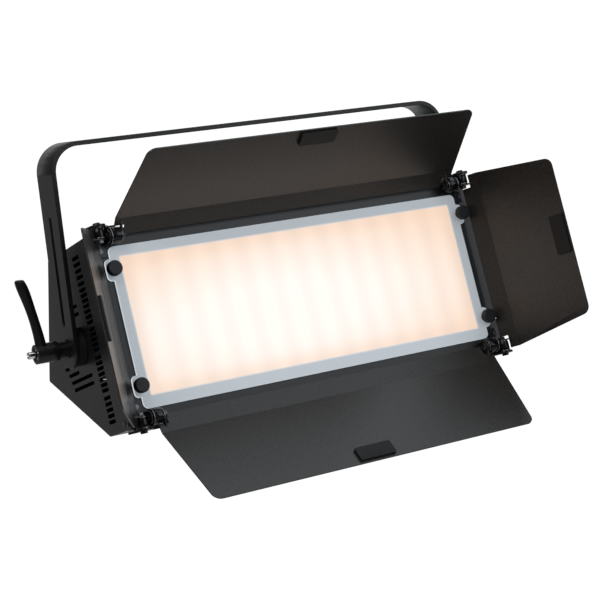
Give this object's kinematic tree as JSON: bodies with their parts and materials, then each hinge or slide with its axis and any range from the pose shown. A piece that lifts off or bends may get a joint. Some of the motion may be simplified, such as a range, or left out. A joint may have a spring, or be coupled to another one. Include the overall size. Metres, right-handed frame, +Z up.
{
  "type": "led panel light",
  "caption": "Studio soft light: flat lamp head with frosted diffuser and hinged barn doors, tilting in a U-shaped yoke with clamping levers.",
  "frame": {"origin": "centre of the clamp hole on the outer (top) face of the yoke crossbar", "axes": "+Z up, -Y the side the lamp faces, +X to the right seen from the front"},
  "size_m": [0.5972, 0.3349, 0.3644],
  "materials": {
    "alu": "satin",
    "bare_steel": "zinc plated",
    "black_coat": "fine-texture black powder coat",
    "black_plastic": "matt",
    "blue_socket": "matt",
    "brass": "plain",
    "chrome": "polished",
    "dark_steel": "dark zinc",
    "door_coat": "matt black powder coat",
    "friction": "matt",
    "frosted": "frosted acrylic",
    "gloss_black": "gloss",
    "green_board": "solder mask",
    "led": "phosphor",
    "rubber": "matt",
    "white_board": "solder mask",
    "white_metal": "white reflector coat",
    "window": "clear",
    "zinc_cast": "satin black"
  },
  "bodies": {
    "yoke": {"yoke": "black_coat", "clamp_washers": "bare_steel"},
    "head": {"bracket_rivets": "dark_steel", "case_screws": "dark_steel", "control_board": "green_board", "data_in": "black_plastic", "data_out": "black_plastic", "diffuser_plate": "frosted", "display_window": "window", "driver_board": "green_board", "friction_disc_left": "friction", "friction_disc_right": "friction", "front_bezel": "black_coat", "heat_sink": "alu", "hinge_bolts": "dark_steel", "hinge_bracket_bottom_left": "black_coat", "hinge_bracket_bottom_right": "black_coat", "hinge_bracket_top_left": "black_coat", "hinge_bracket_top_right": "black_coat", "hinge_bushings": "gloss_black", "hinge_nuts": "bare_steel", "hinge_washers": "bare_steel", "housing_bottom": "black_coat", "housing_top": "black_coat", "led_board": "white_board", "led_packages": "led", "mains_inlet": "blue_socket", "pivot_stud_left": "bare_steel", "pivot_stud_right": "bare_steel", "power_supply": "alu", "rear_cover": "black_coat", "reflector_tray": "white_metal", "side_plate_left": "black_coat", "side_plate_right": "black_coat", "thumb_inserts": "brass"},
    "door_top": {"barn_door_top": "door_coat", "door_pad_top": "rubber"},
    "door_bottom": {"barn_door_bottom": "door_coat", "door_pad_bottom": "rubber"},
    "door_left": {"barn_door_left": "door_coat", "door_pad_left": "rubber"},
    "door_right": {"barn_door_right": "door_coat", "door_pad_right": "rubber"},
    "thumb_top_left": {"thumb_screw_top_left": "gloss_black"},
    "thumb_top_right": {"thumb_screw_top_right": "gloss_black"},
    "thumb_bottom_left": {"thumb_screw_bottom_left": "gloss_black"},
    "thumb_bottom_right": {"thumb_screw_bottom_right": "gloss_black"},
    "lever_left": {"lever_sleeve_left": "black_coat", "lever_screw_left": "chrome", "lever_spring_left": "bare_steel"},
    "handle_left": {"lever_handle_left": "zinc_cast"},
    "lever_right": {"lever_sleeve_right": "black_coat", "lever_screw_right": "chrome", "lever_spring_right": "bare_steel"},
    "handle_right": {"lever_handle_right": "zinc_cast"},
    "button_1": {"menu_button_1": "black_plastic"},
    "button_2": {"menu_button_2": "black_plastic"},
    "button_3": {"menu_button_3": "black_plastic"},
    "button_4": {"menu_button_4": "black_plastic"}
  },
  "joints": [
    {"name": "head_tilt", "type": "hinge", "parent": "yoke", "child": "head", "pos_m": [0, 0, -0.2178], "axis": [1, 0, 0], "range_deg": [-10, 105]},
    {"name": "door_top_swing", "type": "hinge", "parent": "head", "child": "door_top", "pos_m": [0, -0.07573, -0.10012], "axis": [1, 0, 0], "range_deg": [-46, 44]},
    {"name": "door_bottom_swing", "type": "hinge", "parent": "head", "child": "door_bottom", "pos_m": [0, -0.12247, -0.28552], "axis": [-1, 0, 0], "range_deg": [-36.9, 68.1]},
    {"name": "door_right_swing", "type": "hinge", "parent": "head", "child": "door_right", "pos_m": [0.2305, -0.0991, -0.19282], "axis": [0, -0.2445, -0.9697], "range_deg": [-42.5, 30.2]},
    {"name": "door_left_swing", "type": "hinge", "parent": "head", "child": "door_left", "pos_m": [-0.2305, -0.0991, -0.19282], "axis": [0, 0.2445, 0.9697], "range_deg": [-30.8, 41.9]},
    {"name": "thumb_top_left_turn", "type": "hinge", "parent": "head", "child": "thumb_top_left", "pos_m": [-0.2214, -0.07558, -0.13512], "axis": [0, -0.9697, 0.2445], "continuous": true},
    {"name": "thumb_top_right_turn", "type": "hinge", "parent": "head", "child": "thumb_top_right", "pos_m": [0.2214, -0.07558, -0.13512], "axis": [0, -0.9697, 0.2445], "continuous": true},
    {"name": "thumb_bottom_left_turn", "type": "hinge", "parent": "head", "child": "thumb_bottom_left", "pos_m": [-0.2214, -0.10575, -0.25477], "axis": [0, -0.9697, 0.2445], "continuous": true},
    {"name": "thumb_bottom_right_turn", "type": "hinge", "parent": "head", "child": "thumb_bottom_right", "pos_m": [0.2214, -0.10575, -0.25477], "axis": [0, -0.9697, 0.2445], "continuous": true},
    {"name": "lever_left_turn", "type": "hinge", "parent": "head", "child": "lever_left", "pos_m": [-0.258, 0, -0.2178], "axis": [1, 0, 0], "range_deg": [-100, 100]},
    {"name": "handle_left_pull", "type": "slide", "parent": "lever_left", "child": "handle_left", "axis": [-1, 0, 0], "range_m": [0, 0.0045], "stiffness_N_per_m": 400, "springref_m": -0.004},
    {"name": "lever_right_turn", "type": "hinge", "parent": "head", "child": "lever_right", "pos_m": [0.258, 0, -0.2178], "axis": [1, 0, 0], "range_deg": [-100, 100]},
    {"name": "handle_right_pull", "type": "slide", "parent": "lever_right", "child": "handle_right", "axis": [1, 0, 0], "range_m": [0, 0.0045], "stiffness_N_per_m": 400, "springref_m": -0.004},
    {"name": "button_1_press", "type": "slide", "parent": "head", "child": "button_1", "axis": [0, -0.9546, -0.2978], "range_m": [0, 0.0012], "stiffness_N_per_m": 600, "springref_m": -0.0008},
    {"name": "button_2_press", "type": "slide", "parent": "head", "child": "button_2", "axis": [0, -0.9546, -0.2978], "range_m": [0, 0.0012], "stiffness_N_per_m": 600, "springref_m": -0.0008},
    {"name": "button_3_press", "type": "slide", "parent": "head", "child": "button_3", "axis": [0, -0.9546, -0.2978], "range_m": [0, 0.0012], "stiffness_N_per_m": 600, "springref_m": -0.0008},
    {"name": "button_4_press", "type": "slide", "parent": "head", "child": "button_4", "axis": [0, -0.9546, -0.2978], "range_m": [0, 0.0012], "stiffness_N_per_m": 600, "springref_m": -0.0008}
  ]
}
